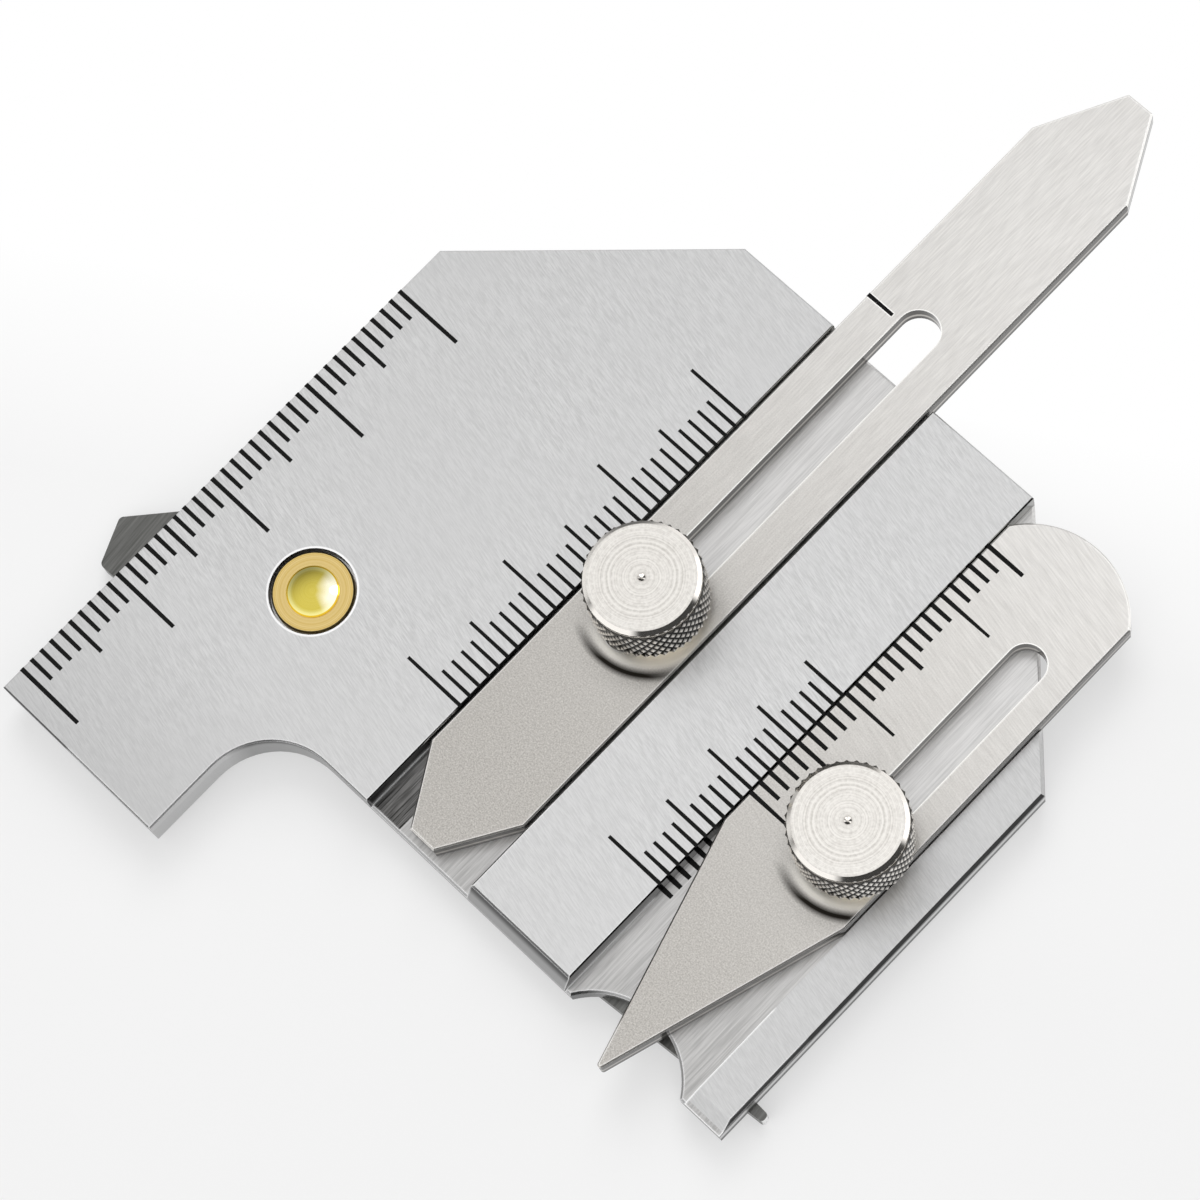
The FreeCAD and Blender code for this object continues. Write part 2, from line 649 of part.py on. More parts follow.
# Thumb screw: turned from one bar, a plain shank in a tapped hole of the plate, a polished neck
# that bears on the slide, a diamond-knurled head with a chamfered rim and a lathe centre.
def make_thumb_screw(name, x, y):
    end = "blade_thickness + screw_end_gap"
    bearing = GROOVE_FLOOR + " + slide_thickness"
    knurl_low = bearing + " + neck_height"
    knurl_top = knurl_low + " + knurl_height"
    top = knurl_top + " + rim_height"
    rim = "knurl_radius - knurl_depth - rim_inset"
    blank = turned(name + "_blank", [
        ("0", end), ("screw_radius", end), ("screw_radius", bearing), ("neck_radius", bearing),
        ("neck_radius", knurl_top), (rim, knurl_top), (rim, top + " - rim_chamfer"),
        (rim + " - rim_chamfer", top), ("centre_radius", top), ("0", top + " - centre_depth"),
    ])
    band = knurled_band(name + "_knurl", size(knurl_low))
    screw = doc.addObject("Part::Fuse", name)
    screw.Base = blank
    screw.Tool = band
    screw.Label = name
    screw.Placement = Placement(Vector(size(x + " - pivot_x"), size(y + " - pivot_y"), 0), Rotation())
    doc.recompute()
    return screw


nodes = [
    make_main_plate(),
    make_height_slide(),
    make_undercut_slide(),
    make_angle_blade(),
    make_pivot_bush(),
    make_pivot_rivet(),
    make_thumb_screw("height_clamp_screw", "height_slide_x", "height_screw_y"),
    make_thumb_screw("undercut_clamp_screw", UNDERCUT_SCREW_X, "undercut_screw_y"),
]
doc.recompute()

for item in doc.Objects:
    if "Invalid" in item.State or "Error" in item.State:
        raise RuntimeError("%s failed: %s" % (item.Label, item.State))
for node in nodes:
    if node.Shape.isNull() or not node.Shape.isValid() or len(node.Shape.Solids) != 1:
        raise RuntimeError("%s is not one valid solid" % node.Label)

os.makedirs("parts", exist_ok=True)
for node in nodes:
    node.Shape.exportStep("parts/%s.step" % node.Label)
    print("%-22s %9.2f mm3" % (node.Label, node.Shape.Volume))
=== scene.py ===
import json
import math

import bpy
from mathutils import Matrix, Vector


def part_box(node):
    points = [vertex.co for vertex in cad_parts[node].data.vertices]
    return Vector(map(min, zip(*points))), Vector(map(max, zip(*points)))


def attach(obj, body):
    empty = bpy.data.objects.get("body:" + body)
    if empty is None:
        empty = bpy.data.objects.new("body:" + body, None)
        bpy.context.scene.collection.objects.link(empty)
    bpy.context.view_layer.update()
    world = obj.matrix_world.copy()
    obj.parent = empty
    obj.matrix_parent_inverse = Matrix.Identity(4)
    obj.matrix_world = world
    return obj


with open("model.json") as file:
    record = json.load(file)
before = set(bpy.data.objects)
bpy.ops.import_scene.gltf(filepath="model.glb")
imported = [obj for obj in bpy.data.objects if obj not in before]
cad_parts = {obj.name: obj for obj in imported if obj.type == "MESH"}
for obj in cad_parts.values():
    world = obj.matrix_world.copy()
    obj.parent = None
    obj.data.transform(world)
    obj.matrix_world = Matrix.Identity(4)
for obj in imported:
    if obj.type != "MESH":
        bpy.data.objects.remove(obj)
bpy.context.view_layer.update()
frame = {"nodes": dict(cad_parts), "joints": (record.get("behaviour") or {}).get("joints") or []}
nodes = frame["nodes"]
MM = 0.001

# Main plate: one bar of stainless steel, ground across its width with a fine belt, then milled
# along its length for the two slides and along its low right edge. Its marks are engraved, and the
# pivot's bush is pressed into it.
FLOOR_TOP = 2.9 * MM
LEDGE_TOP = 3.4 * MM
TONGUE_ROOT = -8 * MM
TONGUE_END = -20 * MM
# Where the left groove's floor carries painted shade.
GROOVE_SHADE_MIDDLE = 14 * MM
GROOVE_SHADE_REACH = 3.2 * MM
RUBBED_FROM = -8 * MM
RUBBED_TO = 20 * MM
SIDE_LINE = 2.45 * MM
INNER_WALLS_MIDDLE = 24 * MM
INNER_WALLS_REACH = 16 * MM
LIT_WALL_FROM = 18 * MM
LIT_WALL_TO = 36 * MM
OUTER_SIDE_FROM = 46 * MM
OUTER_SIDE_TO = 47 * MM
BUSH_SEAT = 3.5 * MM
# The width over which the upper edges get a painted highlight.
HIGHLIGHT_BEVEL = 0.24 * MM
EDGE_MARKS_END = -5 * MM
FIRST_MARKS = 0.8 * MM
FADE = 0.2 * MM


def colour(code):
    """An sRGB hex colour as linear red, green, blue and alpha."""
    parts = [int(code[place:place + 2], 16) / 255 for place in (1, 3, 5)]
    return [part / 12.92 if part <= 0.04045 else ((part + 0.055) / 1.055) ** 2.4 for part in parts] + [1]


def add(tree, kind, values={}, **settings):
    """A new node with its settings. A value that is a node or a socket is linked, and any other is set."""
    made = tree.nodes.new("ShaderNode" + kind)
    for name, setting in settings.items():
        setattr(made, name, setting)
    for name, value in values.items():
        if isinstance(value, bpy.types.Node):
            value = next(socket for socket in value.outputs if socket.enabled)
        if isinstance(value, bpy.types.NodeSocket):
            tree.links.new(value, made.inputs[name])
        else:
            made.inputs[name].default_value = value
    return made


def new_material(name):
    """An empty material and its node tree."""
    material = bpy.data.materials.new(name)
    material.use_nodes = True
    material.node_tree.nodes.clear()
    return material, material.node_tree


def streaks(tree, place, degrees, across, along):
    """Hairlines at an angle to X, so many to a millimetre across them and along them."""
    turned = add(tree, "Mapping", {"Vector": place, "Rotation": (0, 0, -math.radians(degrees))})
    drawn = add(tree, "Mapping", {"Vector": turned, "Scale": (along / MM, across / MM, across / MM)})
    return add(tree, "TexNoise", {"Vector": drawn, "Scale": 1, "Detail": 3, "Roughness": 0.6})


def dress(name, material):
    """Gives a solid its one material."""
    nodes[name].data.materials.clear()
    nodes[name].data.materials.append(material)


# Stainless steel, ground and milled: a cool pale grey with short hairlines a little off square to
# the slides, and longer tool lines on the milled floors. Both are drawn about three times as coarse
# as the real ones, so that they show.
plate_steel, tree = new_material("ground_and_milled_stainless_steel")
coords = add(tree, "TexCoord").outputs
place = coords["Object"]
spot = add(tree, "SeparateXYZ", {0: place}).outputs
facing = add(tree, "SeparateXYZ", {0: coords["Normal"]}).outputs
upward = add(tree, "MapRange", {"Value": facing["Z"], "From Min": 0.3, "From Max": 0.6})
low = add(tree, "Math", {0: spot["Z"], 1: (FLOOR_TOP + LEDGE_TOP) / 2}, operation="LESS_THAN")
on_floor = add(tree, "Math", {0: low, 1: upward}, operation="MULTIPLY")
ground = streaks(tree, place, -12, 11, 1.1)
milled = streaks(tree, place, 90, 6, 0.25)
lines = add(tree, "Mix", {"Factor": on_floor, "A": ground, "B": milled}, data_type="FLOAT")
strong = add(tree, "MapRange", {"Value": lines, "From Min": 0.35, "From Max": 0.65})

# The ground faces are faintly clouded, and duller at the tongue's end and on the low right edge.
cloud = add(tree, "TexNoise", {"Vector": place, "Scale": 0.09 / MM, "Detail": 2})
clouded = add(tree, "MapRange", {"Value": cloud, "From Min": 0.3, "From Max": 0.7, "To Max": 0.5})
face = add(tree, "Mix", {"Factor": strong, "A": colour("#C3C3C3"), "B": colour("#DDDDDD")}, data_type="RGBA")
face = add(tree, "Mix", {"Factor": clouded, "A": face, "B": colour("#D0D0D0")}, data_type="RGBA")
dull_tongue = add(tree, "MapRange", {
    "Value": spot["Y"], "From Min": TONGUE_ROOT, "From Max": TONGUE_END, "To Max": 0.4})
face = add(tree, "Mix", {"Factor": dull_tongue, "A": face, "B": colour("#B2B2B2")}, data_type="RGBA")
low_face = add(tree, "Math", {0: spot["Z"], 1: LEDGE_TOP + 0.1 * MM}, operation="LESS_THAN")
dull_ledge = add(tree, "Math", {0: low_face, 1: 0.3}, operation="MULTIPLY")
face = add(tree, "Mix", {"Factor": dull_ledge, "A": face, "B": colour("#B2B2B2")}, data_type="RGBA")

# The grooves' floors are rubbed bright where the slides pass, and carry painted shade at the left mouth,
# where the slide and the wall shadow them.
dull = add(tree, "Mix", {"Factor": strong, "A": colour("#A5A4A3"), "B": colour("#C6C5C4")}, data_type="RGBA")
dark = add(tree, "Mix", {"Factor": strong, "A": colour("#1E1D1C"), "B": colour("#7A7978")}, data_type="RGBA")
painted_groove_shade = add(tree, "Math", {0: spot["X"], 1: GROOVE_SHADE_MIDDLE, 2: GROOVE_SHADE_REACH}, operation="COMPARE")
dull = add(tree, "Mix", {"Factor": painted_groove_shade, "A": dull, "B": dark}, data_type="RGBA")
bright = add(tree, "Mix", {
    "Factor": strong, "A": colour("#C4C3C2"), "B": colour("#DFDEDD")}, data_type="RGBA")
rubbed = add(tree, "MapRange", {"Value": spot["Y"], "From Min": RUBBED_FROM, "From Max": RUBBED_TO})
floor_tone = add(tree, "Mix", {"Factor": rubbed, "A": dull, "B": bright}, data_type="RGBA")
tone = add(tree, "Mix", {"Factor": on_floor, "A": face, "B": floor_tone}, data_type="RGBA")

# The front faces carry painted shade: grey in the middle and dark towards their edges.
front = add(tree, "MapRange", {"Value": facing["Y"], "From Min": -0.2, "From Max": -0.5})
off_line = add(tree, "Math", {0: spot["Z"], 1: SIDE_LINE}, operation="SUBTRACT")
off_line = add(tree, "Math", {0: off_line}, operation="ABSOLUTE")
near_edge = add(tree, "MapRange", {"Value": off_line, "From Min": 1.2 * MM, "From Max": 1.7 * MM})
front_tone = add(tree, "Mix", {
    "Factor": near_edge, "A": colour("#A4A4A4"), "B": colour("#5C5C5C")}, data_type="RGBA")
tone = add(tree, "Mix", {"Factor": front, "A": tone, "B": front_tone}, data_type="RGBA")

# The grooves' walls that face right carry painted shade, dark below and grey above, and are polished by the
# slides.
outward = add(tree, "MapRange", {"Value": facing["X"], "From Min": 0.4, "From Max": 0.7})
inside = add(tree, "Math", {0: spot["X"], 1: INNER_WALLS_MIDDLE, 2: INNER_WALLS_REACH}, operation="COMPARE")
wall = add(tree, "Math", {0: outward, 1: inside}, operation="MULTIPLY")
lit = add(tree, "MapRange", {"Value": spot["Y"], "From Min": LIT_WALL_FROM, "From Max": LIT_WALL_TO})
wall_tone = add(tree, "Mix", {
    "Factor": lit, "A": colour("#1C1C1C"), "B": colour("#8E8E8C")}, data_type="RGBA")
tone = add(tree, "Mix", {"Factor": wall, "A": tone, "B": wall_tone}, data_type="RGBA")

# The outer right side carries painted shade, with a painted highlight line along its middle.
off_pale = add(tree, "MapRange", {"Value": off_line, "From Min": 0.3 * MM, "From Max": 0.4 * MM})
side_tone = add(tree, "Mix", {
    "Factor": off_pale, "A": colour("#D4D4D4"), "B": colour("#6A6A6A")}, data_type="RGBA")
far_right = add(tree, "MapRange", {
    "Value": spot["X"], "From Min": OUTER_SIDE_FROM, "From Max": OUTER_SIDE_TO})
outer = add(tree, "Math", {0: outward, 1: far_right}, operation="MULTIPLY")
tone = add(tree, "Mix", {"Factor": outer, "A": tone, "B": side_tone}, data_type="RGBA")

# The bush's seat has a painted highlight on its broken edge and painted shade on its wall.
flat = add(tree, "VectorMath", {0: place, 1: (1, 1, 0)}, operation="MULTIPLY")
radius = add(tree, "VectorMath", {0: flat}, operation="LENGTH")
seat = add(tree, "MapRange", {
    "Value": radius, "From Min": BUSH_SEAT - 0.04 * MM, "From Max": BUSH_SEAT + 0.04 * MM,
    "To Min": 1, "To Max": 0})
seat_tone = add(tree, "Mix", {
    "Factor": upward, "A": colour("#14120F"), "B": colour("#FFFFFF")}, data_type="RGBA")
tone = add(tree, "Mix", {"Factor": seat, "A": tone, "B": seat_tone}, data_type="RGBA")

# The upper edges get a painted highlight, away from the marks.
rounded = add(tree, "Bevel", {"Radius": HIGHLIGHT_BEVEL}, samples=8)
true_normal = add(tree, "NewGeometry").outputs["Normal"]
bent = add(tree, "VectorMath", {0: rounded, 1: true_normal}, operation="DOT_PRODUCT")
at_edge = add(tree, "MapRange", {"Value": bent, "From Min": 0.995, "From Max": 0.92})
right_of_marks = add(tree, "MapRange", {
    "Value": spot["X"], "From Min": EDGE_MARKS_END - FADE, "From Max": EDGE_MARKS_END + FADE})
below_marks = add(tree, "MapRange", {
    "Value": spot["Y"], "From Min": FIRST_MARKS + FADE, "From Max": FIRST_MARKS - FADE})
off_marks = add(tree, "Math", {0: right_of_marks, 1: below_marks}, operation="MULTIPLY")
highlight_area = add(tree, "Math", {0: off_marks, 1: upward}, operation="MULTIPLY")
painted_highlight = add(tree, "Math", {0: at_edge, 1: highlight_area}, operation="MULTIPLY")
tone = add(tree, "Mix", {"Factor": painted_highlight, "A": tone, "B": colour("#F8F8F8")}, data_type="RGBA")

matt = add(tree, "MapRange", {
    "Value": lines, "From Min": 0.3, "From Max": 0.7, "To Min": 0.34, "To Max": 0.42})
roughness = add(tree, "Mix", {"Factor": wall, "A": matt, "B": 0.15}, data_type="FLOAT")
relief = add(tree, "Bump", {"Height": lines, "Distance": 0.004 * MM, "Strength": 1})
add(tree, "OutputMaterial", {"Surface": add(tree, "BsdfPrincipled", {
    "Base Color": tone, "Metallic": 1, "Roughness": roughness, "Normal": relief})})
dress("main_plate", plate_steel)

# Slides: two flat bars of spring steel, cut to shape and slotted, then blasted matt with fine
# grit. Each runs in a groove of the plate, and its thumb screw clamps it there.
WALL_LINE = 3.55 * MM
UNDERCUT_SCALE = 37.1 * MM
SCALE_REACH = 2.3 * MM
# Where the slides carry a painted reflection and a painted shadow round each screw's head.
CRESCENT_RADIUS = 4.7 * MM
CRESCENT_END = 5.25 * MM
CRESCENT_SIDE = (0.75, -0.66, 0)
SHADOW_RADIUS = 5.5 * MM
SHADOW_SIDE = (0.35, -0.937, 0)

turning = {joint["child"]: joint["pos_m"] for joint in frame["joints"] if "pos_m" in joint}
for name, screw, dull_y, bright_y, degrees in (
        ("height_slide", "height_screw", -5 * MM, 60 * MM, 90),
        ("undercut_slide", "undercut_screw", -11 * MM, 52 * MM, -12)):
    # Spring steel, blasted: a warm matt grey with a sandy grain, rubbed bright towards the upper
    # end by the thumb that pushes the slide, which leaves short scratches.
    slide_steel, tree = new_material("blasted_steel_" + name)
    coords = add(tree, "TexCoord").outputs
    place = coords["Object"]
    spot = add(tree, "SeparateXYZ", {0: place}).outputs
    facing = add(tree, "SeparateXYZ", {0: coords["Normal"]}).outputs
    thumbed = add(tree, "MapRange", {
        "Value": spot["Y"], "From Min": dull_y, "From Max": bright_y}, interpolation_type="SMOOTHSTEP")
    grain = add(tree, "TexNoise", {"Vector": place, "Scale": 8.5 / MM, "Detail": 2, "Roughness": 0.6})
    scratches = streaks(tree, place, degrees, 8, 0.5)
    lines = add(tree, "Mix", {"Factor": thumbed, "A": grain, "B": scratches}, data_type="FLOAT")
    strong = add(tree, "MapRange", {"Value": lines, "From Min": 0.3, "From Max": 0.7})
    dull = add(tree, "Mix", {
        "Factor": strong, "A": colour("#A39F9A"), "B": colour("#CCC9C4")}, data_type="RGBA")
    bright = add(tree, "Mix", {
        "Factor": strong, "A": colour("#D2D0CD"), "B": colour("#E6E4E1")}, data_type="RGBA")
    tone = add(tree, "Mix", {"Factor": thumbed, "A": dull, "B": bright}, data_type="RGBA")

    # Round the screw's shoulder lies a painted reflection as a bright crescent, with a painted shadow round
    # it.
    x, y = turning[screw][:2]
    centred = add(tree, "VectorMath", {0: place, 1: (-x, -y, 0)}, operation="ADD")
    centred = add(tree, "VectorMath", {0: centred, 1: (1, 1, 0)}, operation="MULTIPLY")
    radius = add(tree, "VectorMath", {0: centred}, operation="LENGTH")
    to_right = add(tree, "VectorMath", {0: centred, 1: CRESCENT_SIDE}, operation="DOT_PRODUCT")
    under_head = add(tree, "MapRange", {
        "Value": radius, "From Min": CRESCENT_RADIUS, "From Max": CRESCENT_END, "To Min": 1, "To Max": 0})
    lower_right = add(tree, "MapRange", {"Value": to_right, "From Min": 0.8 * MM, "From Max": 3.6 * MM})
    painted_reflection = add(tree, "Math", {0: under_head, 1: lower_right}, operation="MULTIPLY")
    tone = add(tree, "Mix", {"Factor": painted_reflection, "A": tone, "B": colour("#FFFCF4")}, data_type="RGBA")
    off_shadow = add(tree, "Math", {0: radius, 1: SHADOW_RADIUS}, operation="SUBTRACT")
    off_shadow = add(tree, "Math", {0: off_shadow}, operation="ABSOLUTE")
    round_head = add(tree, "MapRange", {
        "Value": off_shadow, "From Min": 0.1 * MM, "From Max": 0.55 * MM, "To Min": 1, "To Max": 0})
    toward = add(tree, "VectorMath", {0: centred, 1: SHADOW_SIDE}, operation="DOT_PRODUCT")
    below = add(tree, "MapRange", {"Value": toward, "From Min": 3.2 * MM, "From Max": 5.2 * MM})
    painted_shadow = add(tree, "Math", {0: round_head, 1: below}, operation="MULTIPLY")
    tone = add(tree, "Mix", {"Factor": painted_shadow, "A": tone, "B": colour("#24211D")}, data_type="RGBA")

    # The cut sides carry painted shade, with a light line along their middle as a painted reflection.
    upright = add(tree, "Math", {0: facing["Z"]}, operation="ABSOLUTE")
    wall = add(tree, "MapRange", {"Value": upright, "From Min": 0.4, "From Max": 0.2})
    off_middle = add(tree, "Math", {0: spot["Z"], 1: WALL_LINE}, operation="SUBTRACT")
    off_middle = add(tree, "Math", {0: off_middle}, operation="ABSOLUTE")
    on_line = add(tree, "MapRange", {
        "Value": off_middle, "From Min": 0.12 * MM, "From Max": 0.2 * MM, "To Min": 1, "To Max": 0})
    wall_tone = add(tree, "Mix", {
        "Factor": on_line, "A": colour("#35322E"), "B": colour("#A8A49E")}, data_type="RGBA")
    tone = add(tree, "Mix", {"Factor": wall, "A": tone, "B": wall_tone}, data_type="RGBA")

    # The upper edges get a painted highlight, but not through the marks of the undercut slide's scale.
    rounded = add(tree, "Bevel", {"Radius": HIGHLIGHT_BEVEL}, samples=8)
    true_normal = add(tree, "NewGeometry").outputs["Normal"]
    bent = add(tree, "VectorMath", {0: rounded, 1: true_normal}, operation="DOT_PRODUCT")
    at_edge = add(tree, "MapRange", {"Value": bent, "From Min": 0.995, "From Max": 0.93})
    upward = add(tree, "MapRange", {"Value": facing["Z"], "From Min": 0.3, "From Max": 0.6})
    painted_highlight = add(tree, "Math", {0: at_edge, 1: upward}, operation="MULTIPLY")
    off_scale = add(tree, "Math", {0: spot["X"], 1: UNDERCUT_SCALE}, operation="SUBTRACT")
    off_scale = add(tree, "Math", {0: off_scale}, operation="ABSOLUTE")
    clear = add(tree, "MapRange", {
        "Value": off_scale, "From Min": SCALE_REACH, "From Max": SCALE_REACH + FADE})
    painted_highlight = add(tree, "Math", {0: painted_highlight, 1: clear}, operation="MULTIPLY")
    tone = add(tree, "Mix", {"Factor": painted_highlight, "A": tone, "B": colour("#FCFBF8")}, data_type="RGBA")

    matt = add(tree, "MapRange", {"Value": thumbed, "To Min": 0.36, "To Max": 0.32})
    roughness = add(tree, "Mix", {"Factor": wall, "A": matt, "B": 0.15}, data_type="FLOAT")
    relief = add(tree, "Bump", {"Height": lines, "Distance": 0.004 * MM, "Strength": 1})
    add(tree, "OutputMaterial", {"Surface": add(tree, "BsdfPrincipled", {
        "Base Color": tone, "Metallic": 1, "Roughness": roughness, "Normal": relief})})
    dress(name, slide_steel)

# Blade: a stamped strip of hardened steel behind the plate, ground along its length. It turns
# stiffly on the rivet, and its cut sides that face right get a painted highlight.
blade_steel, tree = new_material("ground_hardened_steel")
coords = add(tree, "TexCoord").outputs
facing = add(tree, "SeparateXYZ", {0: coords["Normal"]}).outputs

# Hardened steel, ground: a darker grey than the rest, with coarse hairlines along the blade.
lines = streaks(tree, coords["Object"], 95, 4, 0.15)
strong = add(tree, "MapRange", {"Value": lines, "From Min": 0.3, "From Max": 0.7})
tone = add(tree, "Mix", {"Factor": strong, "A": colour("#585856"), "B": colour("#767674")}, data_type="RGBA")
# Its sides that face right carry a painted highlight.
painted_side_highlight = add(tree, "MapRange", {"Value": facing["X"], "From Min": 0.5, "From Max": 0.8})
tone = add(tree, "Mix", {"Factor": painted_side_highlight, "A": tone, "B": colour("#F4F4F4")}, data_type="RGBA")
relief = add(tree, "Bump", {"Height": lines, "Distance": 0.005 * MM, "Strength": 1})
add(tree, "OutputMaterial", {"Surface": add(tree, "BsdfPrincipled", {
    "Base Color": tone, "Metallic": 1, "Roughness": 0.36, "Normal": relief})})
dress("angle_blade", blade_steel)

# Pivot: a brass rivet through a brass bush that is pressed into the plate. The bush's flange is
# turned, and the rivet's low dome is polished after it is set.
for name, low_tone, high_tone, roughness in (
        ("pivot_bush", "#CDAF63", "#E0C88C", 0.3), ("pivot_rivet", "#C8B74E", "#CDBD5A", 0.07)):
    # Brass: satin with faint rings round the pivot on the bush, and like a mirror on the rivet.
    brass, tree = new_material("brass_" + name)
    place = add(tree, "TexCoord").outputs["Object"]
    flat = add(tree, "VectorMath", {0: place, 1: (1, 1, 0)}, operation="MULTIPLY")
    radius = add(tree, "VectorMath", {0: flat}, operation="LENGTH")
    rings = add(tree, "TexNoise", {"W": radius, "Scale": 9 / MM, "Detail": 2}, noise_dimensions="1D")
    strong = add(tree, "MapRange", {"Value": rings, "From Min": 0.3, "From Max": 0.7})
    tone = add(tree, "Mix", {
        "Factor": strong, "A": colour(low_tone), "B": colour(high_tone)}, data_type="RGBA")
    if name == "pivot_rivet":
        # The dome gets painted highlights, paler towards its rim and on its upper right, and the rim itself
        # is golden.
        painted_rim_highlight = add(tree, "MapRange", {
            "Value": radius, "From Min": 1.5 * MM, "From Max": 1.85 * MM, "To Max": 0.75})
        tone = add(tree, "Mix", {"Factor": painted_rim_highlight, "A": tone, "B": colour("#F7F2A8")}, data_type="RGBA")
        towards = add(tree, "VectorMath", {0: flat}, operation="NORMALIZE")
        towards = add(tree, "VectorMath", {0: towards, 1: (0.75, 0.66, 0)}, operation="DOT_PRODUCT")
        upper_right = add(tree, "MapRange", {"Value": towards, "From Min": 0.45, "From Max": 0.9})
        off_centre = add(tree, "MapRange", {"Value": radius, "From Min": 0.3 * MM, "From Max": 1.3 * MM})
        painted_highlight = add(tree, "Math", {0: upper_right, 1: off_centre}, operation="MULTIPLY")
        tone = add(tree, "Mix", {"Factor": painted_highlight, "A": tone, "B": colour("#FDF8DC")}, data_type="RGBA")
        rim = add(tree, "MapRange", {"Value": radius, "From Min": 1.86 * MM, "From Max": 1.9 * MM})
        tone = add(tree, "Mix", {"Factor": rim, "A": tone, "B": colour("#DDB62E")}, data_type="RGBA")
    relief = add(tree, "Bump", {"Height": rings, "Distance": 0.0006 * MM, "Strength": 1})
    add(tree, "OutputMaterial", {"Surface": add(tree, "BsdfPrincipled", {
        "Base Color": tone, "Metallic": 1, "Roughness": roughness, "Normal": relief})})
    dress(name, brass)

# Thumb screws: each turned from bright steel bar, with a chamfered rim, a diamond-knurled band
# and a polished shoulder. It clamps its slide, and its shank runs in a tapped hole of the plate.
BAND_INNER = 4.355 * MM
KNURL_VALLEY = 4.41 * MM
KNURL_RIDGE = 4.49 * MM

for name, screw in (("height_clamp_screw", "height_screw"), ("undercut_clamp_screw", "undercut_screw")):
    # Steel, turned: a bright warm grey top with uneven rings round its centre and fine pits.
    screw_steel, tree = new_material("turned_steel_" + name)
    coords = add(tree, "TexCoord").outputs
    place = coords["Object"]
    x, y = turning[screw][:2]
    centred = add(tree, "VectorMath", {0: place, 1: (-x, -y, 0)}, operation="ADD")
    centred = add(tree, "VectorMath", {0: centred, 1: (1, 1, 0)}, operation="MULTIPLY")
    radius = add(tree, "VectorMath", {0: centred}, operation="LENGTH")
    waver = add(tree, "TexNoise", {"Vector": place, "Scale": 0.7 / MM, "Detail": 2})
    wavy = add(tree, "Math", {0: waver, 1: 0.12 * MM, 2: radius}, operation="MULTIPLY_ADD")
    rings = add(tree, "TexNoise", {
        "W": wavy, "Scale": 5.5 / MM, "Detail": 3, "Roughness": 0.6}, noise_dimensions="1D")
    pits = add(tree, "TexNoise", {"Vector": place, "Scale": 5 / MM, "Detail": 1})
    height = add(tree, "Mix", {"Factor": 0.35, "A": rings, "B": pits}, data_type="FLOAT")
    strong = add(tree, "MapRange", {"Value": height, "From Min": 0.3, "From Max": 0.6})
    top_tone = add(tree, "Mix", {
        "Factor": strong, "A": colour("#CAC6C0"), "B": colour("#EEEBE6")}, data_type="RGBA")

    # The knurl gets painted highlights on its ridges and painted shade in its valleys, and painted shade on
    # the step above it.
    in_band = add(tree, "Math", {0: radius, 1: BAND_INNER}, operation="GREATER_THAN")
    ridge = add(tree, "MapRange", {"Value": radius, "From Min": KNURL_VALLEY, "From Max": KNURL_RIDGE})
    knurl_tone = add(tree, "Mix", {
        "Factor": ridge, "A": colour("#12110F"), "B": colour("#F2EEE8")}, data_type="RGBA")
    side_tone = add(tree, "Mix", {
        "Factor": in_band, "A": colour("#F2EEE8"), "B": knurl_tone}, data_type="RGBA")
    top_tone = add(tree, "Mix", {"Factor": in_band, "A": top_tone, "B": colour("#4C4A47")}, data_type="RGBA")
    facing = add(tree, "SeparateXYZ", {0: coords["Normal"]}).outputs
    on_top = add(tree, "Math", {0: facing["Z"], 1: 0.9}, operation="GREATER_THAN")
    tone = add(tree, "Mix", {"Factor": on_top, "A": side_tone, "B": top_tone}, data_type="RGBA")

    # The centre drill's dimple is rough, and the rim and shoulder are polished.
    dimple = add(tree, "MapRange", {
        "Value": radius, "From Min": 0.3 * MM, "From Max": 0.4 * MM, "To Min": 0.8, "To Max": 0.36})
    roughness = add(tree, "Mix", {"Factor": on_top, "A": 0.13, "B": dimple}, data_type="FLOAT")
    relief = add(tree, "Bump", {"Height": height, "Distance": 0.004 * MM, "Strength": on_top})
    add(tree, "OutputMaterial", {"Surface": add(tree, "BsdfPrincipled", {
        "Base Color": tone, "Metallic": 1, "Roughness": roughness, "Normal": relief})})
    dress(name, screw_steel)

# Mark fill: black enamel wiped into the engraved marks and scraped level, so that it lies a hair
# below the steel. One fill for each scale, hardened in the piece that carries it.
FILL_DEPTH = 0.1 * MM
FILL_SINK = 0.015 * MM
MARK_TAPER = 0.85
LONG_SLIDE_TAPER = 0.6
HEIGHT_CLEARANCE = 0.22 * MM
UNDERCUT_CLEARANCE = 0.08 * MM

# Enamel: nearly black and dull, with specks of dust that catch a little light.
enamel, tree = new_material("black_engraving_enamel")
place = add(tree, "TexCoord").outputs["Object"]
dust = add(tree, "TexNoise", {"Vector": place, "Scale": 9 / MM, "Detail": 2})
specks = add(tree, "MapRange", {"Value": dust, "From Min": 0.4, "From Max": 0.8})
tone = add(tree, "Mix", {"Factor": specks, "A": colour("#060606"), "B": colour("#101010")}, data_type="RGBA")
relief = add(tree, "Bump", {"Height": dust, "Distance": 0.002 * MM, "Strength": 1})
add(tree, "OutputMaterial", {"Surface": add(tree, "BsdfPrincipled", {
    "Base Color": tone, "Roughness": 0.5, "Specular IOR Level": 0.15, "Normal": relief})})


